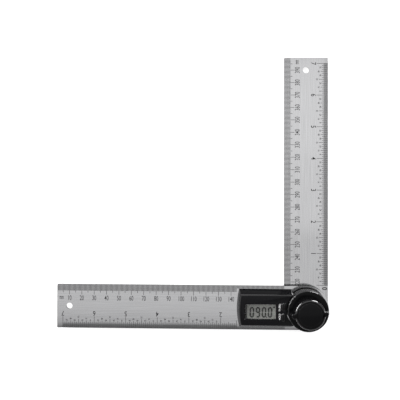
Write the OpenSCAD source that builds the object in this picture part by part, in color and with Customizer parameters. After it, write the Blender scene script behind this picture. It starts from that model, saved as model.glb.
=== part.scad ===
// Digital angle finder with two straight steel arms that lap at a locking pivot.
// The origin is on the pivot axis at the back face of the lower arm, and +Z points
// out of the display. At rest the display arm points to -X and the moving arm to +Y,
// which is a reading of 90 degrees.

/* [Blades] */
// Width of both blades
blade_w = 35; // [32:1:45]
// Pivot axis to the free end of each blade
arm_len = 200; // [150:5:300]
// Thickness of the steel
blade_t = 1.2; // [1:0.1:2]
// Space between the two blades, which holds the angle sensor
blade_gap = 1.4; // [1.3:0.1:2.5]
// Radius of each hanging hole
hang_r = 2.5; // [1.5:0.25:4]
// Free end to the centre of the hanging hole
hang_inset = 10; // [8:1:20]
// Radius of the blades' free corners
corner_r = 0.8; // [0.3:0.1:3]

/* [Pivot] */
// Radius of the threaded stud
stud_r = 3; // [2.5:0.25:4]
// Thread pitch of the stud
thread_pitch = 1; // [0.5:0.25:1.25]
// Largest turn of the knob away from its locked place, in degrees
knob_turn = 270; // [90:15:300]
// Radial running clearance of the pivot
run_gap = 0.05; // [0.02:0.01:0.08]
// Thickness of the stud's flush head
head_t = 0.6; // [0.4:0.1:0.8]
// How far the head reaches past the stud
head_lip = 3; // [2:0.5:4]
// How far the stud's two-flat neck reaches past the stud
neck_lip = 1.2; // [0.8:0.1:1.5]
// Wall of the bronze pivot bush
bush_wall = 0.95; // [0.7:0.05:1.5]
// Thickness of the bush's flange
bush_flange_t = 0.8; // [0.5:0.1:1.2]
// How far the bush's flange reaches past its barrel
bush_flange_lip = 2; // [1:0.25:3]
// Height of the wave washer
wave_t = 0.45; // [0.3:0.05:0.8]
// Thickness of the pressure washer
press_t = 0.5; // [0.4:0.1:1]
// Ring width of the friction washer between the blades
friction_w = 4.45; // [3:0.05:6]

/* [Angle sensor] */
// Gap from the friction washer to the sensor rings
sensor_clear = 0.5; // [0.3:0.1:1.5]
// Ring width of the sensor boards
sensor_band = 8; // [5:0.5:8.5]
// Thickness of the turning sensor disc
rotor_t = 0.5; // [0.3:0.05:0.5]
// Thickness of the fixed sensor board
stator_t = 0.7; // [0.4:0.05:0.7]
// Number of pins that carry the sensor's signals up to the circuit board
pin_count = 5; // [3:1:5]
// Pitch of the pins
pin_pitch = 1.27; // [1:0.01:1.5]
// Radius of a pin
pin_r = 0.25; // [0.2:0.01:0.35]

/* [Lock knob] */
// Radius of the knob's lower tier
knob_r = 16; // [15:0.5:20]
// Height of the lower tier
tier_h = 6.9; // [5:0.1:9]
// Radius of the raised boss
boss_r = 11.7; // [10.8:0.1:12.5]
// Height of the boss above the lower tier
boss_h = 8.3; // [7:0.1:12]
// Half width of a wing at its tip
wing_tip = 1.2; // [1:0.1:2.5]
// Half width of a wing where it meets the boss
wing_root = 2.6; // [2.2:0.1:5]
// Radius of a wing's rounded outer top corner
wing_round = 5; // [2:0.5:6]
// Angle by which the wings are turned at rest
wing_angle = 4.5; // [0:0.5:20]
// Radius of the cap in the boss
cap_r = 9.2; // [8:0.1:9.8]
// Thickness of the cap
cap_t = 1.2; // [0.8:0.1:1.6]
// Width of the ledge that carries the cap
cap_ledge = 0.8; // [0.5:0.1:1.2]
// Wall of the brass insert
insert_wall = 1.95; // [1.2:0.05:2.5]

/* [Display case] */
// Width of the case where it meets the blade
case_w = 30; // [28:0.5:32]
// Height of the case above the blade
case_h = 6.8; // [6.6:0.1:9]
// How far each long side leans in over that height
side_draft = 2.9; // [1:0.1:3]
// How far the free end leans in over that height
end_draft = 1.6; // [0.5:0.1:2]
// Bulge of the free end at its middle
end_bulge = 1.9; // [1:0.1:4]
// Wall of the case
wall = 1.2; // [1:0.1:1.2]
// Thickness of the case's top
top_t = 1; // [0.8:0.05:1]
// Thickness of the case's floor
floor_t = 0.8; // [0.6:0.05:0.8]
// Space between the knob and the case
knob_gap = 0.5; // [0.3:0.1:1]
// Distance from the pivot axis to the case's near corners
case_near = 11; // [10:0.5:12]
// LCD window's far edge to the bulged end of the case
end_margin = 6.05; // [5.8:0.05:9]

/* [Display] */
// Length of the window
window_l = 24.3; // [23:0.1:28]
// Width of the window
window_w = 11.8; // [9:0.1:12]
// Offset of the window from the case's centreline
window_off = -1; // [-1.2:0.1:0]
// Width of the hidden flange round the window pane
window_flange = 0.9; // [0.5:0.05:0.9]
// Thickness of the LCD glass
lcd_t = 0.9; // [0.6:0.05:0.9]
// Space between the buttons and the window
label_band = 4.25; // [4.2:0.05:6]

/* [Buttons] */
// Length of a button along the case's width
button_l = 6.4; // [4.5:0.1:6.6]
// Width of a button
button_w = 3; // [2.5:0.1:3.4]
// Distance between the centres of the two buttons
button_pitch = 8; // [7.5:0.1:9]
// Centre of the button pair from the case's centreline
button_off = -1.2; // [-2:0.1:0]
// Height of a button above the case
button_rise = 0.7; // [0.5:0.05:1.2]
// Travel of a button
button_travel = 0.35; // [0.2:0.05:0.4]

/* [Battery] */
// Radius of the coin cell
cell_r = 10; // [8:0.1:10]
// Thickness of the coin cell
cell_t = 3.2; // [1.6:0.1:3.2]
// Thickness of the battery cover's disc
cover_t = 0.8; // [0.7:0.05:0.8]
// Turn that frees the cover, in degrees
cover_turn = 30; // [25:1:40]
// Width of a bayonet lug
lug_w = 4; // [3:0.1:5]

/* [Circuit board] */
// Thickness of the circuit board
board_t = 0.6; // [0.4:0.05:0.6]
// Width of the circuit board
board_w = 21.8; // [20.8:0.1:22]

/* [Hidden] */
$fn = 96;
// Cutters run this far past what they cut
over = 1;
// Clearance between pieces that are fixed to each other
seat = 0.05;
// Clearance round a piece that slides or swings
slip = 0.12;

// Heights of the blades
upper_z = blade_t + blade_gap;
deck_z = upper_z + blade_t;

// Pivot radii
bore_r = stud_r + run_gap;
bush_r = bore_r + bush_wall;
bush_flange_r = bush_r + bush_flange_lip;
head_r = stud_r + head_lip;
neck_r = stud_r + neck_lip;
neck_flat_lip = 0.2;
neck_flat = stud_r + neck_flat_lip;
friction_r = bore_r + friction_w;
sensor_in = friction_r + sensor_clear;
sensor_out = sensor_in + sensor_band;

// Heights of the clamping stack above the bush's flange
bush_top = deck_z + bush_flange_t;
wave_top = bush_top + wave_t;
press_z = wave_top + seat;
knob_z = press_z + press_t;
tier_z = knob_z + tier_h;
knob_top = tier_z + boss_h;
lift = thread_pitch * knob_turn / 360;

// Inside the knob
insert_r = bore_r + insert_wall;
insert_proud = 0.3;
insert_h = tier_h + insert_proud;
insert_top = knob_z + insert_h;
ring_t = 0.6;
ring_z = insert_top + lift + seat;
ring_groove = 0.6;
ring_lip = 1.6;
ring_r = stud_r + ring_lip;
ring_gap_w = 3;
stud_tail = 0.8;
stud_end = ring_z + ring_t + stud_tail;
press_lip = 2;
cap_z = knob_top - cap_t;
well_r = cap_r - cap_ledge;
wing_setback = 0.15;
wing_sink = 0.5;
// The wings' flanks start to taper inside the boss
wing_start = boss_r - 1.5;
wing_r = knob_r - wing_setback;

// The case, counted along -X from the pivot axis
case_clear_r = knob_r + knob_gap;
case_side = case_w / 2;
case_top = deck_z + case_h;
inner_top = case_top - top_t;
draft_rate = side_draft / case_h;
end_wall = 0.8;
button_margin = 0.5;
button_near = case_clear_r + end_wall + button_margin;
button_x = button_near + button_w / 2;
window_near = button_near + button_w + label_band;
window_x = window_near + window_l / 2;
case_far = window_near + window_l + end_margin;
end_r = (pow(case_side, 2) + pow(end_bulge, 2)) / (2 * end_bulge);

// The display stack, from the window down
window_flange_t = 0.4;
window_recess = 0.15;
lens_z = inner_top - window_flange_t;
lcd_top = lens_z - seat;
lcd_z = lcd_top - lcd_t;
// The glass is this much shorter and narrower than the window's flange
lcd_end_room = 0.6;
lcd_side_room = 0.4;
lcd_l = window_l + 2 * window_flange - lcd_end_room;
lcd_w = window_w + 2 * window_flange - lcd_side_room;
strip_h = 0.7;
strip_w = 1.2;
strip_inset = 0.4;
reflector_t = 0.15;
reflector_room = 0.3;
reflector_w = lcd_w - 2 * (strip_inset + strip_w + reflector_room);
board_top = lcd_z - strip_h;
board_z = board_top - board_t;
board_near_room = 0.6;
board_far_lip = 0.15;
board_near = button_near + board_near_room;
board_far = window_near + window_l + board_far_lip;
board_notch = 0.4;
blob_r = 3;
blob_h = 0.45;
post_r = 1.5;

// Buttons and their switches
button_flange_t = 0.75;
button_lip = 0.3;
switch_h = 0.8;
switch_w = 3;
switch_l = 3.6;
button_top = case_top + button_rise;
button_foot = inner_top - seat - button_flange_t;
switch_spare = 0.1;
switch_top = min(button_foot - button_travel - switch_spare, board_top + switch_h);

// Battery, its ring and its cover
cell_x = window_x;
cell_side = 0.3;
collar_in = cell_r + cell_side;
collar_wall = 0.4;
collar_out = collar_in + collar_wall;
well_gap = 0.1;
blade_hole = collar_out + well_gap;
cell_z = upper_z + cover_t + seat;
cell_top = cell_z + cell_t;
cell_cap_t = 0.35;
cell_cap_step = 1.2;
cell_cap_r = cell_r - cell_cap_step;
lug_z = deck_z + seat;
lug_t = 0.5;
lug_top = lug_z + lug_t;
lug_len = 1;
lug_side = 0.3;
lug_reach = collar_out + lug_len;
lug_room = lug_reach + lug_side;
shelf_z = lug_top + 2 * seat;
shelf_t = 0.8;
ring_wall = 0.8;
shelf_r = lug_room + ring_wall;
ring_wall_top = board_z - seat;
seal_h = 0.4;
seal_z = upper_z + cover_t / 2 - seat;
seal_groove = 0.4;
seal_in = collar_out - seal_groove;
seal_out = blade_hole - run_gap;
coin_slot_share = 0.55;
coin_slot_l = 2 * collar_in * coin_slot_share;
coin_slot_w = 1.8;
coin_slot_d = cover_t / 2;
contact_w = 3;
contact_t = 0.2;

// Screws
screw_r = 1;
screw_head_r = 1.9;
screw_head_t = screw_head_r - screw_r;
screw_len = 5;
screw_boss_r = 2.2;
screw_inset = 3.5;
screw_y = case_side - screw_inset;
screw_tip_room = 0.3;
screw_end_inset = 3;
screw_near_inset = 2.7;
screw_far = case_far - end_bulge - screw_end_inset;
screw_near = button_near + screw_near_inset;
board_screw_r = 0.7;
board_screw_head_r = 1.3;
board_screw_head_t = 0.6;
board_screw_len = 2;
board_screw_y = board_w / 2 - post_r;
board_screw_off = 10;
board_screw_x = [cell_x - board_screw_off, cell_x + board_screw_off];

// Sensor pins, and the slot that they come up through
pin_inset = 1.8;
pin_x = button_near + button_w + pin_inset;
pin_row = (pin_count - 1) * pin_pitch;
slot_w = 1.6;
slot_end = 0.9;
tab_margin = 0.6;
slot_l = pin_row + 2 * slot_end;
tab_w = slot_l + 2 * tab_margin;

case_black = [0.12, 0.12, 0.13];
steel = [0.75, 0.75, 0.76];
green = [0.1, 0.35, 0.2];

// A flat disc or ring between two heights
module ring(r_out, r_in, z0, z1) {
    translate([0, 0, z0]) difference() {
        cylinder(r = r_out, h = z1 - z0);
        if (r_in > 0) translate([0, 0, -over]) cylinder(r = r_in, h = z1 - z0 + 2 * over);
    }
}

// A block between two corners
module block(low, high) {
    translate(low) cube(high - low);
}

// Outline of a blade that points to -X, with its pivot at the origin
module blade_outline() {
    circle(r = blade_w / 2);
    translate([-arm_len + corner_r, -blade_w / 2]) square([arm_len - corner_r, blade_w]);
    translate([-arm_len, -blade_w / 2 + corner_r]) square([arm_len, blade_w - 2 * corner_r]);
    for (side = [-1, 1])
        translate([-arm_len + corner_r, side * (blade_w / 2 - corner_r)]) circle(r = corner_r, $fn = 32);
}

// A blade from its back face at z = 0, with its hanging hole
module blade() {
    difference() {
        linear_extrude(blade_t) blade_outline();
        translate([-arm_len + hang_inset, 0, -over]) cylinder(r = hang_r, h = blade_t + 2 * over);
    }
}

// Puts its children at each case screw
module at_case_screws() {
    for (x = [-screw_far, -screw_near], side = [-1, 1]) translate([x, side * screw_y, 0]) children();
}

// Puts its children at each circuit board screw
module at_board_screws() {
    for (x = board_screw_x, side = [-1, 1]) translate([-x, side * board_screw_y, 0]) children();
}

// Puts its children at each button
module at_buttons() {
    for (side = [-1, 1]) at_button(side) children();
}

module at_button(side) {
    translate([-button_x, button_off + side * button_pitch / 2, 0]) children();
}

// A case screw with its countersunk head, grown by a clearance
module case_screw(grow) {
    translate([0, 0, upper_z]) {
        cylinder(r1 = screw_head_r + grow, r2 = screw_r + grow, h = screw_head_t, $fn = 48);
        cylinder(r = screw_r + grow, h = screw_len + (grow > 0 ? screw_tip_room : 0), $fn = 48);
    }
}

// The case's outer form, drawn in by a wall thickness, between two heights
module case_form(inset, z0, z1) {
    low_y = case_side - (z0 - deck_z) * draft_rate - inset;
    high_y = case_side - (z1 - deck_z) * draft_rate - inset;
    end_rate = end_draft / case_h;
    near_r = case_clear_r + (inset > 0 ? end_wall : 0);
    intersection() {
        translate([-case_far - over, 0, 0]) rotate([90, 0, 90]) linear_extrude(case_far)
            polygon([[-low_y, z0], [low_y, z0], [high_y, z1], [-high_y, z1]]);
        translate([end_r - case_far, 0, z0]) cylinder(
            r1 = end_r - (z0 - deck_z) * end_rate - inset,
            r2 = end_r - (z1 - deck_z) * end_rate - inset, h = z1 - z0, $fn = 128);
        difference() {
            block([-case_far - over, -case_side, z0], [-case_near - inset, case_side, z1]);
            translate([0, 0, z0 - over]) cylinder(r = near_r, h = z1 - z0 + 2 * over);
        }
    }
}

// The slot that the sensor pins come up through
module pin_slot(z0, z1) {
    block([-pin_x - slot_w / 2, -slot_l / 2, z0], [-pin_x + slot_w / 2, slot_l / 2, z1]);
}

module fixed_blade() {
    color(steel) difference() {
        translate([0, 0, upper_z]) blade();
        translate([0, 0, upper_z - over]) {
            cylinder(r = bush_r, h = blade_t + 2 * over);
            translate([-cell_x, 0, 0]) cylinder(r = blade_hole, h = blade_t + 2 * over);
        }
        // notches that let the cover's lugs through
        translate([-cell_x, 0, 0]) rotate(-cover_turn)
            block([-lug_w / 2 - slip, -lug_reach - slip, upper_z - over],
                  [lug_w / 2 + slip, lug_reach + slip, deck_z + over]);
        pin_slot(upper_z - over, deck_z + over);
        at_case_screws() case_screw(seat);
        // opens the cone's wide end below the blade's back face
        at_case_screws() translate([0, 0, upper_z - over])
            cylinder(r = screw_head_r + seat, h = over, $fn = 48);
    }
}

module display_case() {
    color(case_black) difference() {
        union() {
            difference() {
                case_form(0, deck_z, case_top);
                case_form(wall, deck_z, inner_top);
            }
            intersection() {
                case_form(wall / 2, deck_z + floor_t + seat, inner_top);
                at_case_screws() translate([0, 0, deck_z + floor_t + seat])
                    cylinder(r = screw_boss_r, h = inner_top - deck_z - floor_t - seat);
            }
            at_board_screws() translate([0, 0, board_top])
                cylinder(r = post_r, h = inner_top - board_top, $fn = 48);
        }
        // window
        translate([-window_x, window_off, 0])
            block([-window_l / 2, -window_w / 2, inner_top - over],
                  [window_l / 2, window_w / 2, case_top + over]);
        // buttons
        at_buttons() block([-button_w / 2 - slip, -button_l / 2 - slip, inner_top - over],
                           [button_w / 2 + slip, button_l / 2 + slip, case_top + over]);
        at_case_screws() case_screw(seat);
        at_board_screws() translate([0, 0, board_z])
            cylinder(r = board_screw_r + seat, h = board_screw_len + seat, $fn = 32);
    }
}

module case_floor() {
    color(case_black) difference() {
        union() {
            difference() {
                case_form(wall + seat, deck_z, deck_z + floor_t);
                translate([-cell_x, 0, deck_z - over])
                    cylinder(r = lug_room, h = floor_t + 2 * over);
            }
            translate([-cell_x, 0, 0]) {
                ring(shelf_r, lug_room, deck_z, shelf_z + shelf_t);
                ring(shelf_r, collar_in, shelf_z, shelf_z + shelf_t);
                ring(collar_in + ring_wall, collar_in, shelf_z, ring_wall_top);
            }
        }
        pin_slot(deck_z - over, deck_z + floor_t + over);
        at_case_screws() case_screw(seat);
        // slot in the ring for the positive contact
        block([-cell_x + cell_r - over, -contact_w / 2 - 2 * slip, shelf_z + shelf_t / 2],
              [-cell_x + collar_in + ring_wall + over, contact_w / 2 + 2 * slip, ring_wall_top + over]);
    }
}

module lcd_window() {
    color([0.7, 0.72, 0.7, 0.4]) translate([-window_x, window_off, 0]) {
        block([-window_l / 2 + seat, -window_w / 2 + seat, lens_z],
              [window_l / 2 - seat, window_w / 2 - seat, case_top - window_recess]);
        block([-window_l / 2 - window_flange, -window_w / 2 - window_flange, lens_z],
              [window_l / 2 + window_flange, window_w / 2 + window_flange, inner_top]);
    }
}

module lcd_glass() {
    color([0.55, 0.58, 0.52]) translate([-window_x, window_off, 0])
        block([-lcd_l / 2, -lcd_w / 2, lcd_z], [lcd_l / 2, lcd_w / 2, lcd_top]);
}

module lcd_reflector() {
    color([0.6, 0.62, 0.58]) translate([-window_x, window_off, 0])
        block([-lcd_l / 2 + strip_inset, -reflector_w / 2, lcd_z - reflector_t],
              [lcd_l / 2 - strip_inset, reflector_w / 2, lcd_z]);
}

module contact_strips() {
    color("dimgray") translate([-window_x, window_off, 0]) for (side = [-1, 1])
        translate([0, side * (lcd_w / 2 - strip_inset - strip_w / 2), board_top])
            block([-lcd_l / 2 + strip_inset, -strip_w / 2, 0],
                  [lcd_l / 2 - strip_inset, strip_w / 2, strip_h]);
}

module circuit_board() {
    color(green) difference() {
        block([-board_far, -board_w / 2, board_z], [-board_near, board_w / 2, board_top]);
        at_case_screws() translate([0, 0, board_z - over])
            cylinder(r = screw_boss_r + board_notch, h = board_t + 2 * over, $fn = 48);
        at_board_screws() translate([0, 0, board_z - over])
            cylinder(r = board_screw_r + seat, h = board_t + 2 * over, $fn = 32);
        for (i = [0 : pin_count - 1])
            translate([-pin_x, i * pin_pitch - pin_row / 2, board_z - over])
                cylinder(r = pin_r + seat, h = board_t + 2 * over, $fn = 24);
    }
}

module processor_blob() {
    color("black") translate([-window_x, window_off, board_top])
        cylinder(r1 = blob_r, r2 = blob_r / 2, h = blob_h, $fn = 48);
}

module button_switches() {
    color("silver") at_buttons()
        block([-switch_w / 2, -switch_l / 2, board_top], [switch_w / 2, switch_l / 2, switch_top]);
}

module button(side) {
    color([0.16, 0.16, 0.17]) at_button(side) {
        block([-button_w / 2, -button_l / 2, button_foot + button_flange_t],
              [button_w / 2, button_l / 2, button_top]);
        block([-button_w / 2 - button_lip, -button_l / 2 - button_lip, button_foot],
              [button_w / 2 + button_lip, button_l / 2 + button_lip, button_foot + button_flange_t]);
    }
}

module zero_button() {
    button(1);
}

module hold_button() {
    button(-1);
}

module battery_cell() {
    color("gainsboro") translate([-cell_x, 0, cell_z]) {
        cylinder(r = cell_r, h = cell_t - cell_cap_t);
        cylinder(r = cell_cap_r, h = cell_t);
    }
}

// Side spring that touches the cell's can
module battery_contact_positive() {
    color("gold") block([-cell_x + cell_r + seat / 2, -contact_w / 2, shelf_z + shelf_t],
                        [-cell_x + cell_r + seat / 2 + contact_t, contact_w / 2, board_z]);
}

// Leaf under the circuit board, with a dimple that touches the cell's smaller pole
module battery_contact_negative() {
    color("gold") translate([-cell_x, 0, 0]) {
        block([-2 * contact_w, -contact_w / 2, board_z - contact_t / 2],
              [2 * contact_w, contact_w / 2, board_z]);
        ring(contact_w / 3, 0, cell_top + seat / 2, board_z);
    }
}

module case_screws() {
    color("silver") at_case_screws() case_screw(0);
}

module board_screws() {
    color("silver") at_board_screws() {
        translate([0, 0, board_z - board_screw_head_t])
            cylinder(r = board_screw_head_r, h = board_screw_head_t, $fn = 32);
        translate([0, 0, board_z]) cylinder(r = board_screw_r, h = board_screw_len, $fn = 32);
    }
}

// Fixed sensor ring under the display arm, with a tab for the pins
module stator_board() {
    color(green) difference() {
        union() {
            ring(sensor_out, 0, upper_z - stator_t, upper_z);
            block([-pin_x - slot_w / 2, -tab_w / 2, upper_z - stator_t], [-sensor_in, tab_w / 2, upper_z]);
        }
        translate([0, 0, upper_z - stator_t - over]) cylinder(r = sensor_in, h = stator_t + 2 * over);
        for (i = [0 : pin_count - 1])
            translate([-pin_x, i * pin_pitch - pin_row / 2, upper_z - stator_t - over])
                cylinder(r = pin_r + seat, h = stator_t + 2 * over, $fn = 24);
    }
}

module sensor_pins() {
    color("gold") for (i = [0 : pin_count - 1])
        translate([-pin_x, i * pin_pitch - pin_row / 2, upper_z - stator_t])
            cylinder(r = pin_r, h = board_top - upper_z + stator_t, $fn = 24);
}

module pivot_bush() {
    color("peru") {
        ring(bush_r, bore_r, upper_z, bush_top);
        ring(bush_flange_r, bore_r, deck_z, bush_top);
    }
}

module wave_washer() {
    color("silver") ring(bush_flange_r, bore_r + seat, bush_top, wave_top);
}

module battery_cover() {
    color([0.14, 0.14, 0.15]) translate([-cell_x, 0, 0]) difference() {
        union() {
            ring(collar_out, 0, upper_z, upper_z + cover_t);
            ring(collar_out, collar_in, upper_z, lug_top);
            for (side = [-1, 1]) difference() {
                intersection() {
                    ring(lug_reach, 0, lug_z, lug_top);
                    translate([0, side * lug_reach / 2, 0])
                        block([-lug_w / 2, -lug_reach / 2, 0], [lug_w / 2, lug_reach / 2, lug_top]);
                }
                translate([0, 0, lug_z - over]) cylinder(r = collar_in, h = lug_t + 2 * over);
            }
        }
        block([-coin_slot_l / 2, -coin_slot_w / 2, upper_z - over],
              [coin_slot_l / 2, coin_slot_w / 2, upper_z + coin_slot_d]);
        ring(collar_out + over, seal_in, seal_z, seal_z + seal_h);
    }
}

module cover_seal() {
    color("black") translate([-cell_x, 0, 0]) ring(seal_out, seal_in, seal_z, seal_z + seal_h);
}

// Outline of the stud's neck: a disc with two flats, so that the stud turns with its blade
module neck_outline(grow) {
    intersection() {
        circle(r = neck_r + grow);
        square([2 * (neck_r + over), 2 * (neck_flat + grow)], center = true);
    }
}

module moving_blade() {
    color(steel) difference() {
        rotate(-90) blade();
        translate([0, 0, -over]) linear_extrude(blade_t + 2 * over) neck_outline(seat / 2);
        translate([0, 0, -over]) cylinder(r = head_r + seat / 2, h = head_t + over);
    }
}

module pivot_stud() {
    color("silver") difference() {
        union() {
            cylinder(r = head_r, h = head_t);
            linear_extrude(blade_t) neck_outline(0);
            cylinder(r = stud_r, h = stud_end);
        }
        ring(stud_r + over, stud_r - ring_groove, ring_z, ring_z + ring_t);
    }
}

module rotor_disc() {
    color(green) ring(sensor_out, sensor_in, blade_t, blade_t + rotor_t);
}

module friction_washer() {
    color("white") ring(friction_r, bore_r, blade_t, upper_z);
}

// Clip that stops the loosened knob at the end of its turn
module stop_ring() {
    color("dimgray") difference() {
        ring(ring_r, stud_r - ring_groove, ring_z, ring_z + ring_t);
        block([0, -ring_gap_w / 2, ring_z - over], [ring_r + over, ring_gap_w / 2, ring_z + ring_t + over]);
    }
}

module pressure_washer() {
    color("silver") ring(insert_r + press_lip, bore_r, press_z, knob_z);
}

// The round form that the wings are cut from, with its outer top corner rounded
module wing_profile() {
    rotate_extrude() {
        translate([0, tier_z - wing_sink]) square([wing_r - wing_round, boss_h + wing_sink]);
        translate([0, tier_z - wing_sink]) square([wing_r, boss_h + wing_sink - wing_round]);
        intersection() {
            translate([wing_r - wing_round, knob_top - wing_round]) circle(r = wing_round);
            translate([0, tier_z]) square([wing_r, boss_h]);
        }
    }
}

// Two-tier knob with a wing on each side of its boss
module lock_knob() {
    color(case_black) difference() {
        union() {
            ring(knob_r, 0, knob_z, tier_z);
            rotate(90) ring(boss_r, 0, knob_z, knob_top);
            rotate(wing_angle) intersection() {
                rotate(90) wing_profile();
                translate([0, 0, tier_z - wing_sink]) linear_extrude(boss_h + wing_sink)
                    polygon([[-knob_r, -wing_tip], [-wing_start, -wing_root], [wing_start, -wing_root],
                             [knob_r, -wing_tip], [knob_r, wing_tip], [wing_start, wing_root],
                             [-wing_start, wing_root], [-knob_r, wing_tip]]);
            }
        }
        translate([0, 0, knob_z - over]) cylinder(r = insert_r, h = insert_h + over);
        translate([0, 0, insert_top]) cylinder(r = well_r, h = knob_top);
        translate([0, 0, cap_z]) cylinder(r = cap_r, h = knob_top);
    }
}

module knob_insert() {
    color("goldenrod") ring(insert_r, bore_r, knob_z, insert_top);
}

module knob_cap() {
    color([0.15, 0.15, 0.16]) ring(cap_r - seat, 0, cap_z, knob_top);
}

fixed_blade();
display_case();
case_floor();
lcd_window();
lcd_glass();
lcd_reflector();
contact_strips();
circuit_board();
processor_blob();
button_switches();
battery_cell();
battery_contact_positive();
battery_contact_negative();
case_screws();
board_screws();
stator_board();
sensor_pins();
pivot_bush();
wave_washer();
zero_button();
hold_button();
battery_cover();
cover_seal();
moving_blade();
pivot_stud();
rotor_disc();
friction_washer();
stop_ring();
pressure_washer();
lock_knob();
knob_insert();
knob_cap();
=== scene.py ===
import math
from contextlib import contextmanager
import bpy
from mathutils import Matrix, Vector


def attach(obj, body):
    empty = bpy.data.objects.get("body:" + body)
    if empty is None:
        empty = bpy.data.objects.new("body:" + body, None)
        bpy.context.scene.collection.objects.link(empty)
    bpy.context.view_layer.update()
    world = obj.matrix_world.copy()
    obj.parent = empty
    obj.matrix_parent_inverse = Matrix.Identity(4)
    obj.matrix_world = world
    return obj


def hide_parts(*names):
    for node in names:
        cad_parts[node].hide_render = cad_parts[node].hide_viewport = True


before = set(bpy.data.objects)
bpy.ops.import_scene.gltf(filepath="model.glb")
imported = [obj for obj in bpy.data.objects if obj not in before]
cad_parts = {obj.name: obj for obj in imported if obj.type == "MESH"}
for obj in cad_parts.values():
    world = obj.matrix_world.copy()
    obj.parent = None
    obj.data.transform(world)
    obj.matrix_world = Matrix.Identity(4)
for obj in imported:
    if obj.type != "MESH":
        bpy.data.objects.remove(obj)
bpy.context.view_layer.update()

# Camera
# The photograph looks down on the tool from about 400 mm, over the space between its arms, and
# the middle of the picture lies a little below the axis of the lens.
MM = 0.001
camera = bpy.data.objects.new("camera", bpy.data.cameras.new("camera"))
bpy.context.scene.collection.objects.link(camera)
bpy.context.scene.camera = camera
camera.data.sensor_width = 36
camera.data.lens = 44.815
camera.data.shift_y = -0.15
camera.location = (-74.71 * MM, 131.54 * MM, 402.88 * MM)
camera.rotation_euler = (math.radians(0.313), math.radians(1.475), math.radians(0.086))

# Table and light
# A white table under a white surround. A row of soft lights overhead gives the steel its tone
# along the arms, and two upright ones behind the pivot draw the bright lines along the rounded
# black edges.
TABLE_GREY = 0.4
TABLE_GLOW = 0.8
ROOM = (0.16, 0.16, 0.163)
BAND_TOP, BAND_WHITE = 0.4, 0.05
bpy.context.scene.view_settings.view_transform = "Standard"
bpy.ops.object.select_all(action="DESELECT")
bpy.ops.mesh.primitive_plane_add(size=2.4, location=(0, 0, -0.1 * MM))
table = bpy.context.object
table.name = "table"
table_paint = bpy.data.materials.new("table_white")
table_paint.use_nodes = True
table.data.materials.append(table_paint)


def maths(tree, operation, *inputs):
    """The result of a math node whose inputs are sockets or numbers."""
    node = tree.nodes.new("ShaderNodeMath")
    node.operation = operation
    for socket, value in zip(node.inputs, inputs):
        if isinstance(value, (int, float)):
            socket.default_value = value
        else:
            tree.links.new(value, socket)
    return node.outputs[0]


def mapped(tree, value, start, end, low=0.0, high=1.0):
    """A value drawn from one range to another and held inside it."""
    node = tree.nodes.new("ShaderNodeMapRange")
    node.inputs["From Min"].default_value = start
    node.inputs["From Max"].default_value = end
    node.inputs["To Min"].default_value = low
    node.inputs["To Max"].default_value = high
    tree.links.new(value, node.inputs["Value"])
    return node.outputs[0]


def seen_directly(tree, share=1):
    """1 for what the camera sees by itself, a share for what it sees in a reflection or through
    glass, and 0 for other light."""
    path = tree.nodes.new("ShaderNodeLightPath")
    mirrored = maths(tree, "MAXIMUM", path.outputs["Is Glossy Ray"], path.outputs["Is Transmission Ray"])
    return maths(tree, "MAXIMUM", path.outputs["Is Camera Ray"], maths(tree, "MULTIPLY", mirrored, share))


tree = table_paint.node_tree
tree.nodes.remove(tree.nodes["Principled BSDF"])
matt = tree.nodes.new("ShaderNodeBsdfDiffuse")
matt.inputs["Color"].default_value = (TABLE_GREY, TABLE_GREY, TABLE_GREY, 1)
glow = tree.nodes.new("ShaderNodeEmission")
tree.links.new(maths(tree, "MULTIPLY", seen_directly(tree), TABLE_GLOW), glow.inputs["Strength"])
both = tree.nodes.new("ShaderNodeAddShader")
tree.links.new(matt.outputs[0], both.inputs[0])
tree.links.new(glow.outputs[0], both.inputs[1])
tree.links.new(both.outputs[0], tree.nodes["Material Output"].inputs["Surface"])

world = bpy.data.worlds.new("surround")
bpy.context.scene.world = world
world.use_nodes = True
tree = world.node_tree
room = tree.nodes["Background"]
room.inputs["Color"].default_value = (*ROOM, 1)
white = tree.nodes.new("ShaderNodeBackground")
white.inputs["Color"].default_value = (1, 1, 1, 1)
direction = tree.nodes.new("ShaderNodeTexCoord")
parts = tree.nodes.new("ShaderNodeSeparateXYZ")
tree.links.new(direction.outputs["Generated"], parts.inputs[0])
low_band = mapped(tree, parts.outputs["Z"], BAND_TOP, BAND_WHITE)
blend = tree.nodes.new("ShaderNodeMixShader")
tree.links.new(seen_directly(tree, low_band), blend.inputs[0])
tree.links.new(room.outputs[0], blend.inputs[1])
tree.links.new(white.outputs[0], blend.inputs[2])
tree.links.new(blend.outputs[0], tree.nodes["World Output"].inputs["Surface"])


def softbox(name, where, aim, width, height, power):
    """A soft rectangular light that the camera doesn't see itself."""
    lamp = bpy.data.objects.new(name, bpy.data.lights.new(name, "AREA"))
    bpy.context.scene.collection.objects.link(lamp)
    lamp.data.shape = "RECTANGLE"
    lamp.data.size = width
    lamp.data.size_y = height
    lamp.data.energy = power
    lamp.location = where
    lamp.rotation_euler = (Vector(aim) - Vector(where)).to_track_quat("-Z", "Y").to_euler()
    lamp.visible_camera = False
    lamp.visible_transmission = False


ROW_X, ROW_Z = -0.05, 1.2
for name, y, depth, power in (("over_the_free_end", 0.66, 0.5, 1.9), ("over_the_arms", 0.25, 0.32, 1.63),
                              ("over_the_middle", -0.03, 0.24, 1.1), ("over_the_pivot", -0.29, 0.28, 1.03),
                              ("before_the_arms", -0.88, 0.9, 1.83)):
    softbox(name, (ROW_X, y, ROW_Z), (ROW_X, y, 0), 2.0, depth, power)
softbox("behind_left", (-1.07, 0.49, 0.3), (0, 0, 0.01), 0.95, 0.46, 38.0)
softbox("behind_right", (0.62, 0.98, 0.26), (0, 0, 0.01), 0.6, 0.36, 24.0)

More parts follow.
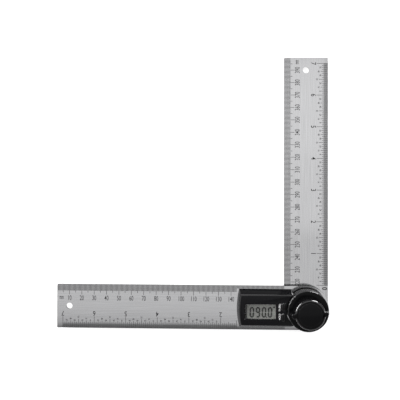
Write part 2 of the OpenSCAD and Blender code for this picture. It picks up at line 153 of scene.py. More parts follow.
# Steel blades
# Two strips of rolled stainless steel, 35 by 1.2 mm, ground along their length. The lower one
# carries the pivot stud and turns, and the upper one carries the case.
BLADE_HALF = 17.5
ARM = 200.0
UPPER_TOP = 3.8
LOWER_TOP = 1.2
STEEL = (0.63, 0.63, 0.638)
# Painted shade: the blades' upright sides take this near-black instead of steel, so their edges and the gap
# between the blades look shaded.
SIDE_SHADE = (0.1, 0.1, 0.102)
UPRIGHT, LEVEL = 0.4, 0.8
# Painted shade: over this width the steel's colour darkens towards each arm's outer long edge.
EDGE_SHADE_BAND = 5
NOISE_LOW, NOISE_HIGH = 0.3, 0.7


def finish_of(name, colour, rough, metal=0.0, tint=0.05, spread=0.05, grain=900, stretch=(1, 1, 1),
              bump=0.0, shine=0.5):
    """A material with a grain on the piece's own coordinates. The colour drifts with it by the share
    tint and the roughness by spread, and bump is the depth of the grain in millimetres."""
    made = bpy.data.materials.new(name)
    made.use_nodes = True
    tree = made.node_tree
    shader = tree.nodes["Principled BSDF"]
    shader.inputs["Metallic"].default_value = metal
    shader.inputs["Specular IOR Level"].default_value = shine
    place = tree.nodes.new("ShaderNodeTexCoord")
    scale = tree.nodes.new("ShaderNodeMapping")
    scale.inputs["Scale"].default_value = stretch
    noise = tree.nodes.new("ShaderNodeTexNoise")
    noise.inputs["Scale"].default_value = grain
    noise.inputs["Detail"].default_value = 3
    tree.links.new(place.outputs["Object"], scale.inputs["Vector"])
    tree.links.new(scale.outputs["Vector"], noise.inputs["Vector"])
    ramp = tree.nodes.new("ShaderNodeValToRGB")
    ramp.color_ramp.elements[0].position = NOISE_LOW
    ramp.color_ramp.elements[0].color = (*[c * (1 - tint) for c in colour], 1)
    ramp.color_ramp.elements[1].position = NOISE_HIGH
    ramp.color_ramp.elements[1].color = (*[min(1, c * (1 + tint)) for c in colour], 1)
    tree.links.new(noise.outputs[0], ramp.inputs[0])
    tree.links.new(ramp.outputs[0], shader.inputs["Base Color"])
    roughness = mapped(tree, noise.outputs[0], NOISE_LOW, NOISE_HIGH, rough - spread, rough + spread)
    tree.links.new(roughness, shader.inputs["Roughness"])
    if bump:
        relief = tree.nodes.new("ShaderNodeBump")
        relief.inputs["Strength"].default_value = 0.5
        relief.inputs["Distance"].default_value = bump * MM
        tree.links.new(noise.outputs[0], relief.inputs["Height"])
        tree.links.new(relief.outputs[0], shader.inputs["Normal"])
    return made


def dress(finish, *names):
    """Gives CAD nodes a material on their objects' slots."""
    for name in names:
        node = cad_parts[name]
        if not node.material_slots:
            node.data.materials.append(None)
        for slot in node.material_slots:
            slot.link = "OBJECT"
            slot.material = finish


def ground_steel(name, stretch, outward, edge_shade):
    """Steel ground along one direction, with painted shade on its upright sides and painted shade darkening
    towards its outer edge.
    """
    made = finish_of(name, STEEL, 0.12, metal=1, tint=0.07, spread=0.025, grain=1600, stretch=stretch,
                     bump=0.0005)
    tree = made.node_tree
    base = tree.nodes["Principled BSDF"].inputs["Base Color"]
    face = tree.nodes.new("ShaderNodeTexCoord")
    parts = tree.nodes.new("ShaderNodeSeparateXYZ")
    tree.links.new(face.outputs["Normal"], parts.inputs[0])
    flat = mapped(tree, maths(tree, "ABSOLUTE", parts.outputs["Z"]), UPRIGHT, LEVEL)
    out = tree.nodes.new("ShaderNodeVectorMath")
    out.operation = "DOT_PRODUCT"
    out.inputs[1].default_value = outward
    tree.links.new(face.outputs["Object"], out.inputs[0])
    # Painted shade: the colour darkens across the last few millimetres towards the outer edge, down to the
    # given share.
    edge_shade_factor = mapped(tree, out.outputs["Value"], (BLADE_HALF - EDGE_SHADE_BAND) * MM, BLADE_HALF * MM, 1, edge_shade)
    edge_shaded = tree.nodes.new("ShaderNodeVectorMath")
    edge_shaded.operation = "SCALE"
    tree.links.new(base.links[0].from_socket, edge_shaded.inputs[0])
    tree.links.new(edge_shade_factor, edge_shaded.inputs["Scale"])
    # The upright sides take the painted shade colour in place of the steel's.
    tone = tree.nodes.new("ShaderNodeMixRGB")
    tone.inputs[1].default_value = (*SIDE_SHADE, 1)
    tree.links.new(flat, tone.inputs[0])
    tree.links.new(edge_shaded.outputs[0], tone.inputs[2])
    tree.links.new(tone.outputs[0], base)
    return made


# Painted shade darkens the display arm's outer edge to 0.45 of the steel's colour and the moving arm's to
# 0.85.
dress(ground_steel("ground_steel_display_arm", stretch=(0.02, 1, 1), outward=(0, -1, 0), edge_shade=0.45),
      "fixed_blade")
dress(ground_steel("ground_steel_moving_arm", stretch=(1, 0.02, 1), outward=(1, 0, 0), edge_shade=0.85),
      "moving_blade")

# Scale lines
# The lines of both scales are etched and filled with black. Millimetres run along the inner
# edge of each arm and sixty-fourths of an inch along the outer edge.
INK_T = 0.03
INCH = 25.4
THIN, THICK = 0.2, 0.32
DISPLAY_MM_WIDTH, MOVING_MM_WIDTH = 0.5, 0.42
EDGE = 0.02
MM_LINE, FIVE_LINE, TEN_LINE = 5.2, 6.7, 8.3
INCH_ROWS = ((64, THIN, EDGE, 3.1), (32, THIN, 3.1, 3.8), (16, THICK, EDGE, 4.7), (8, THICK, 4.7, 5.0),
             (4, THICK, 5.0, 5.8), (2, THICK, 5.8, 7.2), (1, THICK, 7.2, 9.0))
BEFORE_CASE, LAST_LINE = 144, 182
CASE_INCHES, LAST_INCH = 1.5, 7
BESIDE_CASE = 2.4
ink = finish_of("black_fill", (0.014, 0.014, 0.015), 0.5, tint=0.3, spread=0.1, grain=2500, shine=0.25)


def use(obj):
    """Makes one object the only selected and the active one."""
    bpy.ops.object.select_all(action="DESELECT")
    obj.select_set(True)
    bpy.context.view_layer.objects.active = obj


def joined(name, objects):
    """One object from several."""
    use(objects[0])
    for other in objects:
        other.select_set(True)
    bpy.ops.object.join()
    whole = bpy.context.object
    whole.name = name
    return whole


def placed(obj, body, finish=None, angle=35):
    """Ends a piece: its place goes into its mesh, it gets its finish and rides on its body."""
    use(obj)
    bpy.ops.object.transform_apply(location=True, rotation=True, scale=True)
    bpy.ops.object.shade_smooth_by_angle(angle=math.radians(angle))
    if finish:
        obj.data.materials.append(finish)
    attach(obj, body)


def lines(zero, along, inward, top, rows):
    """Rows of lines. A row is the first and last line, their pitch, their width, and how far from
    the blade's edge they start and end."""
    made = []
    zero, along, inward = Vector(zero), Vector(along), Vector(inward)
    for first, last, pitch, width, near, far in rows:
        middle = zero + along * first * pitch + inward * (near + far) / 2
        size = along * width + inward * (far - near)
        bpy.ops.mesh.primitive_cube_add(size=MM, location=(middle.x * MM, middle.y * MM, top * MM))
        line = bpy.context.object
        line.scale = (abs(size.x), abs(size.y), INK_T)
        bpy.ops.object.transform_apply(location=True, rotation=True, scale=True)
        row = line.modifiers.new("row", "ARRAY")
        row.count = last - first + 1
        row.use_relative_offset = False
        row.use_constant_offset = True
        row.constant_offset_displace = along * pitch * MM
        bpy.ops.object.modifier_apply(modifier="row")
        made.append(line)
    return made


def mm_rows(last, width):
    """The rows of a millimetre scale from 1 to its last line."""
    return [(1, last, 1, width, EDGE, MM_LINE), (1, last // 5, 5, THICK, MM_LINE, FIVE_LINE),
            (1, last // 10, 10, THICK, FIVE_LINE, TEN_LINE)]


def inch_rows(first):
    """The rows of an inch scale from so many inches to its last inch."""
    return [(math.ceil(first * per), LAST_INCH * per, INCH / per, width, near, far)
            for per, width, near, far in INCH_ROWS]


beside_case = [(BEFORE_CASE + 1, LAST_LINE, 1, DISPLAY_MM_WIDTH, EDGE, BESIDE_CASE)]
display_lines = lines((-ARM, BLADE_HALF, 0), (1, 0, 0), (0, -1, 0), UPPER_TOP,
                      mm_rows(BEFORE_CASE, DISPLAY_MM_WIDTH) + beside_case)
beside_case = [(0, round(CASE_INCHES * 64) - 1, INCH / 64, THIN, EDGE, BESIDE_CASE)]
display_lines += lines((-BLADE_HALF, -BLADE_HALF, 0), (-1, 0, 0), (0, 1, 0), UPPER_TOP,
                       inch_rows(CASE_INCHES) + beside_case)
placed(joined("display_arm_scale_lines", display_lines), "display_arm", ink)
moving_lines = lines((-BLADE_HALF, ARM, 0), (0, -1, 0), (1, 0, 0), LOWER_TOP,
                     mm_rows(LAST_LINE, MOVING_MM_WIDTH))
moving_lines += lines((BLADE_HALF, BLADE_HALF, 0), (0, 1, 0), (-1, 0, 0), LOWER_TOP, inch_rows(0))
placed(joined("moving_arm_scale_lines", moving_lines), "moving_arm", ink)

# Scale numerals
# Narrow etched numerals, filled like the lines. On the display arm the millimetres stand
# upright and the inches upside down, and on the moving arm both are turned a quarter.
FONT_CAP = 0.729
NARROW = 0.62
MM_CAP, INCH_CAP, PART_CAP = 4.0, 4.1, 1.5
INCH_ACROSS = 11.7
UNIT_END, UNIT_ASIDE, UNIT_CAP = 3.6, 0.6, 3.6
ZERO_BESIDE, ZERO_ACROSS = 2.6, 2.8
PARTS = ((8, 6.1), (16, 7.4), (24, 6.1), (32, 8.8), (40, 6.1), (48, 7.4), (56, 6.1))


def lettering(text, x, y, top, turn, cap, narrow=NARROW, bold=0.03):
    """A word or number centred at x, y, turned by some degrees, with capitals of that height."""
    bpy.ops.object.text_add(location=(x * MM, y * MM, (top + INK_T / 4) * MM),
                            rotation=(0, 0, math.radians(turn)))
    word = bpy.context.object
    word.data.body = text
    word.data.size = cap / FONT_CAP * MM
    word.data.align_x = "CENTER"
    word.data.align_y = "CENTER"
    word.data.extrude = INK_T / 4 * MM
    word.data.offset = bold * MM
    word.data.resolution_u = 3
    word.scale = (narrow, 1, 1)
    return word


def as_meshes(words):
    """Turns text into meshes."""
    use(words[0])
    for word in words:
        word.select_set(True)
    bpy.ops.object.convert(target="MESH")
    bpy.ops.object.transform_apply(location=True, rotation=True, scale=True)
    return words


def numerals(at, top, mm_turn, inch_turn, mm_numbers, mm_across, first_inch):
    """All the numerals of one arm. at gives the place that lies so far from the free end and from
    the inner edge."""
    words = [lettering("mm", *at(UNIT_END, mm_across - UNIT_ASIDE), top, mm_turn, UNIT_CAP,
                       narrow=0.45, bold=0.05)]
    for place, number in mm_numbers:
        words.append(lettering(str(number), *at(place, mm_across), top, mm_turn, MM_CAP, bold=0.02))
    width = 2 * BLADE_HALF
    for inch in range(first_inch, LAST_INCH + 1):
        end = ARM - BLADE_HALF - inch * INCH
        if inch:
            words.append(lettering(str(inch), *at(end, width - INCH_ACROSS), top, inch_turn, INCH_CAP,
                                   narrow=0.8, bold=0.04))
        else:
            words.append(lettering("0", *at(end + ZERO_BESIDE, width - ZERO_ACROSS), top, inch_turn,
                                   INCH_CAP, narrow=0.8, bold=0.14))
        for part, across in PARTS if inch < LAST_INCH else ():
            words.append(lettering(str(part), *at(end - part * INCH / 64, width - across), top,
                                   inch_turn, PART_CAP, narrow=0.75))
    return as_meshes(words)


def on_display_arm(end, across):
    """The place so far from the display arm's free end and from its inner edge."""
    return -ARM + end, BLADE_HALF - across


def on_moving_arm(end, across):
    """The place so far from the moving arm's free end and from its inner edge."""
    return -BLADE_HALF + across, ARM - end


words = numerals(on_display_arm, UPPER_TOP, mm_turn=0, inch_turn=180,
                 mm_numbers=[(n, n) for n in range(10, 150, 10)], mm_across=11.2, first_inch=2)
placed(joined("display_arm_numerals", words), "display_arm", ink)
words = numerals(on_moving_arm, LOWER_TOP, mm_turn=90, inch_turn=-90,
                 mm_numbers=[(2 * ARM - n, n) for n in range(390, 210, -10)], mm_across=10.8, first_inch=0)
placed(joined("moving_arm_numerals", words), "moving_arm", ink)

# Display case
# The cover of the display, moulded in glossy black plastic about 1 mm thick. It leans in on three
# sides, bulges at its far end and curves round the knob. Four screws hold it from behind.
CASE_TOP = 10.6
CASE_SIDE = 15.0
CASE_FAR, CASE_NEAR = 55.4, 11
END_R = 60.16
SIDE_LEAN = 2.9 / 6.8
END_LEAN = 1.6 / 6.8
KNOB_BAY = 16.5
WALL, BAY_WALL, ROOF = 1.2, 0.8, 1
NEAR_CORNER, TOP_RIM, BAY_RIM = 1.3, 0.6, 0.3
PLAIN, POLISHED, SIDES, FAR_END = 0, 1, 2, 3
SCREW_SPOTS = [(x, y) for x in (-50.5, -20.5) for y in (-11.5, 11.5)]
POST_SPOTS = [(x, y) for x in (-47.2, -27.2) for y in (-9.4, 9.4)]
SCREW_BOSS_R, SCREW_HOLE_R, POST_R, POST_HOLE_R = 2.2, 1.05, 1.5, 0.75
BOSS_LOW, POST_LOW, IN_ROOF = 4.65, 7.55, 9.65
SCREW_HOLE_TOP, POST_HOLE_TOP, UNDER_ROOF = 7.9, 9, 9
WINDOW = ((-49.35, -6.9), (-25.05, 4.9))
KEY_X = -19.3
KEY_YS = (2.8, -5.2)
KEY_HALF_W, KEY_HALF_L = 1.5, 3.2
KEY_PLAY, FLANGE = 0.12, 0.3


def bar(low, high):
    """A block from one corner to the other, in millimetres."""
    bpy.ops.mesh.primitive_cube_add(size=MM, location=[(a + b) / 2 * MM for a, b in zip(low, high)])
    made = bpy.context.object
    made.scale = [b - a for a, b in zip(low, high)]
    bpy.ops.object.transform_apply(location=True, rotation=True, scale=True)
    return made


def turned(radius, low, high, sides, spot=(0, 0), top_radius=None):
    """A round bar or cone that stands on a spot between two heights, in millimetres."""
    bpy.ops.mesh.primitive_cone_add(vertices=sides, radius1=radius * MM,
                                    radius2=(radius if top_radius is None else top_radius) * MM,
                                    depth=(high - low) * MM,
                                    location=(spot[0] * MM, spot[1] * MM, (low + high) / 2 * MM))
    bpy.ops.object.transform_apply(location=True, rotation=True, scale=True)
    return bpy.context.object


def cut(obj, tool, way="DIFFERENCE"):
    """Cuts a piece with a tool, or joins it to the tool's form or keeps what they share."""
    use(obj)
    change = obj.modifiers.new("cut", "BOOLEAN")
    change.operation = way
    change.solver = "EXACT"
    change.object = tool
    bpy.ops.object.modifier_apply(modifier="cut")
    bpy.data.objects.remove(tool)


@contextmanager
def chosen(obj, kind, test):
    """Edit mode, with only the vertices, edges or faces selected whose place passes a test."""
    use(obj)
    bpy.ops.object.mode_set(mode="EDIT")
    bpy.ops.mesh.select_mode(type=kind)
    bpy.ops.mesh.select_all(action="DESELECT")
    bpy.ops.object.mode_set(mode="OBJECT")
    spots = [v.co / MM for v in obj.data.vertices]
    if kind == "VERT":
        for v in obj.data.vertices:
            v.select = test(spots[v.index])
    elif kind == "EDGE":
        for e in obj.data.edges:
            e.select = test(spots[e.vertices[0]], spots[e.vertices[1]])
    else:
        for f in obj.data.polygons:
            f.select = test(f.center / MM, f.normal)
    bpy.ops.object.mode_set(mode="EDIT")
    yield
    bpy.ops.object.mode_set(mode="OBJECT")


def resized(obj, kind, test, factors):
    """Scales what passes a test, about the origin."""
    with chosen(obj, kind, test):
        bpy.ops.transform.resize(value=factors, center_override=(0, 0, 0))


def rounded(obj, radius, segments, test, finish=POLISHED):
    """Rounds the edges whose two ends pass a test, and gives the new faces one of the piece's
    finishes."""
    with chosen(obj, "EDGE", test):
        bpy.ops.mesh.bevel(offset=radius * MM, segments=segments, affect="EDGES", clamp_overlap=False,
                           material=finish)
    return obj


def painted(obj, finish, test):
    """Gives the faces that pass a test one of the piece's other finishes."""
    with chosen(obj, "FACE", test):
        obj.active_material_index = finish
        bpy.ops.object.material_slot_assign()


def cleaned(obj):
    """Merges doubles and melts the flat faces that a cut has split."""
    with chosen(obj, "VERT", lambda p: True):
        bpy.ops.mesh.remove_doubles(threshold=0.002 * MM)
        bpy.ops.mesh.dissolve_limited(angle_limit=math.radians(0.3))
        bpy.ops.mesh.normals_make_consistent(inside=False)
    return obj


def finished(obj, *finishes):
    """Gives a piece its finishes. The first covers it, and rounded and painted give faces the others."""
    for finish in finishes:
        obj.data.materials.append(finish)
    return obj


def case_form(wall, low, high):
    """The case's form, drawn in by a wall, between two heights."""
    base, top = ((CASE_SIDE - wall) - (z - UPPER_TOP) * SIDE_LEAN for z in (low, high))
    form = bar((-CASE_FAR - 1, -base, low), (-CASE_NEAR - wall, base, high))
    resized(form, "FACE", lambda p, n: n.z > 0.5, (1, top / base, 1))
    far, near = (END_R - wall - (z - UPPER_TOP) * END_LEAN for z in (low - 1, high + 1))
    cut(form, turned(far, low - 1, high + 1, 400, (END_R - CASE_FAR, 0), near), "INTERSECT")
    cut(form, turned(KNOB_BAY + (BAY_WALL if wall else 0), low - 1, high + 1, 160))
    return cleaned(form)


def opening(low, high, corner, flare):
    """Cuts an opening with rounded corners and a flared rim through the case's top."""
    tool = bar((*low, UNDER_ROOF), (*high, CASE_TOP - flare))
    rounded(tool, corner, 4, lambda a, b: abs(a.z - b.z) > 0.5)
    middle = [(a + b) / 2 * MM for a, b in zip(low, high)]
    grown = [(b - a + 4 * flare) / (b - a) for a, b in zip(low, high)]
    with chosen(tool, "FACE", lambda p, n: n.z > 0.5):
        bpy.ops.mesh.extrude_region_move(TRANSFORM_OT_translate={"value": (0, 0, 2 * flare * MM)})
        bpy.ops.transform.resize(value=(*grown, 1), center_override=(*middle, 0))
    cut(case, tool)


def key_field(y, more):
    """The lower and the upper corner of a key's field, grown all round."""
    half_w, half_l = KEY_HALF_W + more, KEY_HALF_L + more
    return (KEY_X - half_w, y - half_l), (KEY_X + half_w, y + half_l)


def at_case_top(a, b):
    """Whether an edge lies in the case's top."""
    return min(a.z, b.z) > CASE_TOP - 0.01


def on_case_side(p):
    """Whether a point lies in one of the case's two long sides."""
    return abs(abs(p.y) - CASE_SIDE + (p.z - UPPER_TOP) * SIDE_LEAN) < 0.01


case_gloss = finish_of("glossy_black_case", (0.0035, 0.0035, 0.0042), 0.14, tint=0.15, spread=0.04,
                       bump=0.001, shine=0.13)
edge_polish = finish_of("polished_black_edge", (0.003, 0.003, 0.0034), 0.1, tint=0.2, spread=0.03,
                        grain=1300, shine=1.0)
case_side = finish_of("satin_black_sides", (0.0018, 0.0018, 0.0022), 0.2, tint=0.2, grain=700,
                      bump=0.002, shine=0.06)
# Painted light: the far end gets a lighter, shinier copy of the case's black, so that end looks lit.
far_end_lit = finish_of("black_far_end_painted_light", (0.012, 0.012, 0.0125), 0.14, tint=0.15, spread=0.04,
                     shine=0.6)
case = finished(case_form(0, UPPER_TOP, CASE_TOP), case_gloss, edge_polish, case_side, far_end_lit)
painted(case, SIDES, lambda p, n: abs(n.z) < 0.6 and abs(n.y) > 0.9)
# The far end's faces take the painted light copy.
painted(case, FAR_END, lambda p, n: abs(n.z) < 0.6 and n.x < -0.9)
rounded(case, NEAR_CORNER, 4,
        lambda a, b: abs(a.z - b.z) > 0.3 and min(a.x, b.x) > -CASE_NEAR - 0.4
        and on_case_side(a) and on_case_side(b))
rounded(case, TOP_RIM, 4, lambda a, b: at_case_top(a, b) and max(a.xy.length, b.xy.length) > KNOB_BAY + 0.1)
rounded(case, BAY_RIM, 3,
        lambda a, b: at_case_top(a, b) and max(a.xy.length, b.xy.length) < KNOB_BAY + 0.01, PLAIN)
cut(case, case_form(WALL, UPPER_TOP - 0.01, CASE_TOP - ROOF))
bosses = joined("bosses", [turned(SCREW_BOSS_R, BOSS_LOW, 9.7, 48, spot) for spot in SCREW_SPOTS])
cut(bosses, case_form(WALL / 2, BOSS_LOW, IN_ROOF), "INTERSECT")
cut(case, bosses, "UNION")
cut(case, joined("posts", [turned(POST_R, POST_LOW, IN_ROOF, 32, spot) for spot in POST_SPOTS]), "UNION")
cut(case, joined("holes", [turned(SCREW_HOLE_R, 3, SCREW_HOLE_TOP, 32, spot) for spot in SCREW_SPOTS]
                 + [turned(POST_HOLE_R, 7, POST_HOLE_TOP, 24, spot) for spot in POST_SPOTS]))
opening(*WINDOW, corner=0.5, flare=0.15)
for y in KEY_YS:
    opening(*key_field(y, KEY_PLAY), corner=1.3, flare=0.1)
case.name = "display_cover"
placed(case, "display_arm", None, 30)
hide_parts("display_case")

# Buttons
# Two keys of semi-gloss black plastic with rounded ends. A flange under the case's top keeps each
# from falling out, and the switch below pushes it up.
KEY_LOW, KEY_TOP = 9.5, 11.3
FLANGE_LOW, FLANGE_TOP = 8.8, 9.55
KEY_CORNER, KEY_RIM, FLANGE_CORNER = 1.4, 0.45, 0.3
for name, body, y in zip(("zero_key_cap", "hold_key_cap"), ("zero_key", "hold_key"), KEY_YS):
    low, high = key_field(y, 0)
    key = bar((*low, KEY_LOW), (*high, KEY_TOP))
    key_black = finish_of(name + "_black", (0.002, 0.002, 0.0024), 0.16, tint=0.15, spread=0.04,
                          grain=1500, bump=0.001, shine=0.2)
    finished(key, key_black, edge_polish)
    rounded(key, KEY_CORNER, 6, lambda a, b: abs(a.z - b.z) > 1)
    rounded(key, KEY_RIM, 5, lambda a, b: min(a.z, b.z) > KEY_TOP - 0.01)
    low, high = key_field(y, FLANGE)
    flange = bar((*low, FLANGE_LOW), (*high, FLANGE_TOP))
    rounded(flange, FLANGE_CORNER, 2, lambda a, b: abs(a.z - b.z) > 0.5)
    cut(key, flange, "UNION")
    key.name = name
    placed(key, body, None, 35)
    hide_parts("zero_button" if y > 0 else "hold_button")

# Button labels
# White print on the case's top beside each button, a thin film of ink. It says what the button
# does and reads from the left-hand side.
LABEL_X, LABEL_CAP = -22.15, 1.35
words = [lettering("ON/ZERO", LABEL_X, 2.55, CASE_TOP, 90, LABEL_CAP, narrow=0.73, bold=0),
         lettering("HOLD", LABEL_X, -4.7, CASE_TOP, 90, LABEL_CAP, narrow=0.93, bold=0)]
print_white = finish_of("white_print", (0.88, 0.88, 0.88), 0.5, tint=0.04, grain=3000)
placed(joined("button_labels", as_meshes(words)), "display_arm", print_white)

# LCD
# A pane of clear acrylic set a little below the case's top, and under it the glass, which is
# greenish grey with dark seven-bar digits in a black printed frame. The reflector and the contact
# strips lie behind the glass.
pane = bpy.data.materials.new("clear_acrylic")
pane.use_nodes = True
tree = pane.node_tree
acrylic = tree.nodes["Principled BSDF"]
acrylic.inputs["Transmission Weight"].default_value = 1
acrylic.inputs["IOR"].default_value = 1.49
acrylic.inputs["Base Color"].default_value = (0.95, 0.96, 0.95, 1)
acrylic.inputs["Roughness"].default_value = 0.02
through = tree.nodes.new("ShaderNodeBsdfTransparent")
path = tree.nodes.new("ShaderNodeLightPath")
lit = tree.nodes.new("ShaderNodeMixShader")
tree.links.new(path.outputs["Is Shadow Ray"], lit.inputs[0])
tree.links.new(acrylic.outputs[0], lit.inputs[1])
tree.links.new(through.outputs[0], lit.inputs[2])
tree.links.new(lit.outputs[0], tree.nodes["Material Output"].inputs["Surface"])
dress(pane, "lcd_window")
dress(finish_of("lcd_grey", (0.128, 0.129, 0.121), 0.35, tint=0.03, grain=400), "lcd_glass")
dress(finish_of("reflector_silver", (0.55, 0.56, 0.53), 0.35, metal=0.6, grain=1200), "lcd_reflector")
dress(finish_of("contact_rubber", (0.05, 0.05, 0.055), 0.7, tint=0.3, spread=0.1, grain=2500, bump=0.01),
      "contact_strips")

LCD_TOP = 9.15
BAR_W, BAR_T, MASK_T = 1.4, 0.03, 0.05
BAR_GAP = 0.12
DIGIT_W, DIGIT_H = 3.8, 8.5
DIGIT_STEP = 4.73
FIRST_DIGIT = (-43.8, -1.72)
LEAN = math.radians(1.5)
POINT = ((-32.85, -6.05), (-31.85, -5.05))
DEGREE_SIGN = ((-27.05, 1.6), (-25.75, 2.9))
MASK = ((-49.6, -7.15), (-24.8, 5.15))
IN_MASK = ((-47.7, -6.65), (-25.15, 4.5))


def on_glass(low, high, thickness=BAR_T):
    """A thin block on the glass, from one corner to the other."""
    return bar((*low, LCD_TOP), (*high, LCD_TOP + thickness))


def lcd_bar(x, y, length, upright):
    """One dark bar of a digit, with pointed ends."""
    long, wide = (BAR_W, length) if upright else (length, BAR_W)
    made = on_glass((x - long / 2, y - wide / 2), (x + long / 2, y + wide / 2))
    return rounded(made, BAR_W * 0.4, 1, lambda a, b: abs(a.z - b.z) > 0.01)


def lcd_digit(bars, x, y):
    """A digit from the letters of its bars, from a at the top clockwise to f, with g in the middle."""
    side, half, step = (DIGIT_W - BAR_W) / 2, (DIGIT_H - BAR_W) / 2, math.tan(LEAN)
    spots = {"a": (0, half, 0), "d": (0, -half, 0), "g": (0, 0, 0), "b": (side, half / 2, 1),
             "c": (side, -half / 2, 1), "e": (-side, -half / 2, 1), "f": (-side, half / 2, 1)}
    return [lcd_bar(x + spots[b][0] + spots[b][1] * step, y + spots[b][1],
                    half - BAR_GAP if spots[b][2] else 2 * side - BAR_GAP, spots[b][2]) for b in bars]


digits = []
for place, bars in enumerate(("abcdef", "abcdfg", "abcdef", "abcdef")):
    digits += lcd_digit(bars, FIRST_DIGIT[0] + DIGIT_STEP * place, FIRST_DIGIT[1])
digits += [on_glass(*POINT), on_glass(*DEGREE_SIGN)]
lcd_dark = finish_of("lcd_dark", (0.003, 0.0031, 0.0028), 0.3, tint=0.1, shine=0.1)
placed(joined("lcd_digits", digits), "display_arm", lcd_dark)
mask = on_glass(*MASK, MASK_T)
low, high = IN_MASK
cut(mask, rounded(bar((*low, LCD_TOP - 1), (*high, LCD_TOP + 1)), 0.5, 4,
                  lambda a, b: abs(a.z - b.z) > 1))
mask.name = "lcd_mask"
mask_black = finish_of("mask_black", (0.006, 0.006, 0.0065), 0.4, tint=0.2, shine=0.2)
placed(mask, "display_arm", mask_black)

# Electronics
# A green circuit board hangs from the case on four small screws, with the processor under a blob
# of black epoxy, the switches above and the contacts of the coin cell below.
dress(finish_of("board_green", (0.02, 0.1, 0.05), 0.35, tint=0.35, spread=0.08, grain=260),
      "circuit_board", "stator_board", "rotor_disc")
dress(finish_of("epoxy_black", (0.02, 0.02, 0.02), 0.25, tint=0.2), "processor_blob")
dress(finish_of("switch_black", (0.03, 0.03, 0.03), 0.5, tint=0.2, grain=1500), "button_switches")
dress(finish_of("cell_steel", (0.7, 0.7, 0.71), 0.25, metal=1, tint=0.04), "battery_cell")
dress(finish_of("gold_plate", (0.75, 0.58, 0.28), 0.25, metal=1, tint=0.06, spread=0.06, grain=1500),
      "battery_contact_positive", "battery_contact_negative", "sensor_pins")
dress(finish_of("case_floor_black", (0.015, 0.015, 0.017), 0.45, tint=0.15, grain=1500, bump=0.005),
      "case_floor")
dress(finish_of("board_screw_steel", (0.72, 0.72, 0.73), 0.25, metal=1, tint=0.04, grain=1500),
      "board_screws")

# Back
# Four countersunk screws with crossed slots hold the case, and a matt plastic cover with a slot
# for a coin closes the battery's well with a quarter turn over a rubber seal.
HEAD_R, HEAD_LOW, HEAD_TOP = 1.9, 2.6, 3.5
SHANK_R, SHANK_TOP = 1.0, 7.6
SLOT_HALF_L, SLOT_HALF_W, SLOT_TOP = 1.15, 0.19, 3.15
screw = turned(HEAD_R, HEAD_LOW, HEAD_TOP, 48, top_radius=SHANK_R)
cut(screw, turned(SHANK_R, 3.4, SHANK_TOP, 48), "UNION")
for turn in (0, 90):
    slot = bar((-SLOT_HALF_L, -SLOT_HALF_W, 2.4), (SLOT_HALF_L, SLOT_HALF_W, SLOT_TOP))
    resized(slot, "FACE", lambda p, n: n.z > 0.5, (0.5, 0.7, 1))
    slot.rotation_euler = (0, 0, math.radians(turn))
    cut(screw, slot)
rounded(screw, 0.08, 2,
        lambda a, b: max(a.z, b.z) < HEAD_LOW + 0.001 and min(a.xy.length, b.xy.length) > HEAD_R - 0.05)
screws = []
for (x, y), turn in zip(SCREW_SPOTS, (-30.5, 14.5, -0.5, 44.5)):
    use(screw)
    bpy.ops.object.duplicate()
    copy = bpy.context.object
    copy.location = (x * MM, y * MM, 0)
    copy.rotation_euler = (0, 0, math.radians(turn))
    screws.append(copy)
bpy.data.objects.remove(screw)
case_fixing = joined("case_fixing_screws", screws)
screw_steel = finish_of("screw_steel", (0.72, 0.72, 0.73), 0.28, metal=1, spread=0.06, grain=1800)
placed(case_fixing, "display_arm", screw_steel, 30)
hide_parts("case_screws")
dress(finish_of("cover_black", (0.018, 0.018, 0.02), 0.55, tint=0.15, spread=0.06, grain=1500, bump=0.008),
      "battery_cover")
dress(finish_of("seal_rubber", (0.012, 0.012, 0.012), 0.7, tint=0.2, spread=0.08, grain=2000), "cover_seal")

# Pivot
# A stud with a flush head is held by two flats in the lower blade. It turns in a bronze bush in
# the upper blade, over a plastic friction washer, and a clip at its top stops the knob.
dress(finish_of("turned_steel", (0.7, 0.7, 0.71), 0.25, metal=1, spread=0.06, grain=1200),
      "pivot_stud", "pressure_washer")
dress(finish_of("bronze", (0.5, 0.32, 0.16), 0.35, metal=1, tint=0.08, spread=0.08), "pivot_bush")
dress(finish_of("spring_steel", (0.2, 0.2, 0.22), 0.3, metal=1, tint=0.08, spread=0.06),
      "wave_washer", "stop_ring")
dress(finish_of("washer_white", (0.75, 0.75, 0.73), 0.45, tint=0.03, grain=1200), "friction_washer")

# Lock knob
# A moulded black knob with fine ribs round both tiers and a wing on each side of the boss. A brass
# insert carries its thread, and a flat cap is pressed into its top.
TIER_R, TIER_LOW, TIER_TOP = 16.0, 5.6, 12.5
BOSS_R, BOSS_FOOT, KNOB_TOP = 11.7, 12.0, 20.8
TIER_RIM, BOSS_RIM, FINE_RIM = 0.4, 1.2, 0.2
TIER_RIBS, BOSS_RIBS = 72, 46
TIER_GROOVES, BOSS_GROOVES = (6.0, 12.07, 0.7), (12.2, 20.0, 0.5)
WING_TURN, WING_REACH = math.radians(4.5), math.radians(18)
WING_BAR, WING_CORNER = 1.1, 5
WING_HALVES = ((9.4, 2.6), (10.6, 2.3), (11.4, 1.95), (12.2, 1.65), (13.2, 1.4), (14.9, 0.85))
WING_FOOT, WING_END = WING_HALVES[0][0], WING_HALVES[-1][0]
WING_FREE = 11.3
RIB_GLOSS = 2
INSERT_R, WELL_R, CAP_SEAT_R = 5.0, 8.4, 9.2
WELL_LOW, CAP_LOW, ABOVE = 12.8, 19.6, 22


def sliced(obj, normal, *places):
    """Splits the faces of a piece by planes that lie so many millimetres out along a direction."""
    for place in places:
        with chosen(obj, "FACE", lambda p, n: True):
            bpy.ops.mesh.bisect(plane_co=[c * place * MM for c in normal], plane_no=normal)


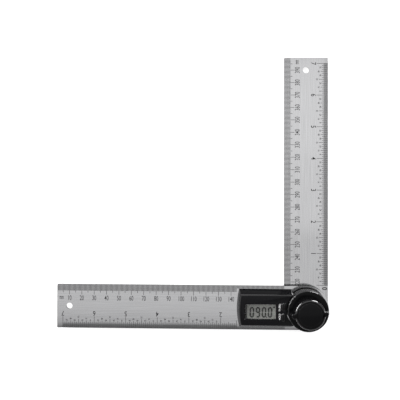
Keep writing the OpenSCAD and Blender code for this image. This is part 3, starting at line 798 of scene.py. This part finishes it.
def ribbed(radius, low, high, rim, ribs, grooves, smooth):
    """A round tier with a rounded rim and ribs, four columns of faces to a rib. The grooves are given
    by their lower and upper end and their depth, and smooth tells by its angle whether a column has
    none."""
    bottom, top, depth = grooves
    tier = finished(turned(radius, low, high, ribs * 4), knob_black, edge_polish, rib_black)
    rounded(tier, rim, 5, lambda a, b: min(a.z, b.z) > high - 0.01)
    painted(tier, RIB_GLOSS, lambda p, n: abs(n.z) < 0.5)
    sliced(tier, (0, 0, 1), bottom - 0.1, bottom + 0.1, high - rim - 0.05)

    def grooved(p):
        angle = math.atan2(p.y, p.x)
        return round(angle / (2 * math.pi) * ribs * 4) % 4 >= 2 and not smooth(angle)
    share = (radius - depth) / radius
    resized(tier, "VERT", lambda p: bottom < p.z < top and grooved(p), (share, share, 1))
    painted(tier, PLAIN, lambda p, n: bottom < p.z < top and p.xy.length < radius - 0.4 * depth)
    return tier


def by_wing(angle):
    """Whether an angle lies where a wing's foot meets the boss."""
    return abs(math.remainder(angle - WING_TURN, math.pi)) < WING_REACH


knob_black = finish_of("semi_gloss_black_knob", (0.002, 0.002, 0.0022), 0.16, tint=0.15, spread=0.04,
                       grain=1100, bump=0.001, shine=0.1)
rib_black = finish_of("glossy_black_ribs", (0.003, 0.003, 0.0033), 0.22, tint=0.15, spread=0.04,
                      grain=1100, shine=0.7)
knob = ribbed(TIER_R, TIER_LOW, TIER_TOP, TIER_RIM, TIER_RIBS, TIER_GROOVES, lambda angle: False)
rounded(knob, FINE_RIM, 2, lambda a, b: max(a.z, b.z) < TIER_LOW + 0.01)
boss = ribbed(BOSS_R, BOSS_FOOT, KNOB_TOP, BOSS_RIM, BOSS_RIBS, BOSS_GROOVES, by_wing)
for turn in (0, math.pi):
    wing = bar((WING_FOOT, -WING_BAR, BOSS_FOOT), (WING_END, WING_BAR, KNOB_TOP))
    finished(wing, knob_black, edge_polish)
    sliced(wing, (1, 0, 0), *[x for x, half in WING_HALVES[1:-1]])
    for x, half in WING_HALVES:
        resized(wing, "VERT", lambda p: abs(p.x - x) < 0.01, (1, half / WING_BAR, 1))
    rounded(wing, WING_CORNER, 10,
            lambda a, b: min(a.z, b.z) > KNOB_TOP - 0.01 and min(a.x, b.x) > WING_END - 0.1, PLAIN)
    rounded(wing, FINE_RIM, 3,
            lambda a, b: min(a.z, b.z) > TIER_TOP and abs(a.y - b.y) < 0.9 and max(a.x, b.x) > WING_FREE
            and a.y * b.y > 0 or min(a.x, b.x) > WING_END - 0.01 and abs(a.z - b.z) > 1)
    wing.rotation_euler = (0, 0, WING_TURN + turn)
    cut(boss, wing, "UNION")
cut(knob, boss, "UNION")
cut(knob, turned(INSERT_R, 5, WELL_LOW, 64))
cut(knob, turned(WELL_R, WELL_LOW, ABOVE, 96))
cut(knob, turned(CAP_SEAT_R, CAP_LOW, ABOVE, 128))
cleaned(knob)
knob.name = "lock_knob_ribbed"
placed(knob, "knob", None, 30)
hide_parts("lock_knob")
dress(finish_of("brass", (0.7, 0.53, 0.25), 0.3, metal=1, tint=0.06, spread=0.06), "knob_insert")

# Knob cap
# A thin disc of the same plastic, pressed flush into the top of the boss. It closes the well in
# which the end of the stud and its clip turn.
CAP_R = 9.15
cap_black = finish_of("knob_cap_black", (0.002, 0.002, 0.0024), 0.14, tint=0.15, spread=0.04,
                      grain=1300, bump=0.001, shine=0.13)
cap = finished(turned(CAP_R, CAP_LOW, KNOB_TOP, 128), cap_black, edge_polish)
rounded(cap, FINE_RIM, 3, lambda a, b: min(a.z, b.z) > KNOB_TOP - 0.01)
cap.name = "knob_top_disc"
placed(cap, "knob", None, 30)
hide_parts("knob_cap")
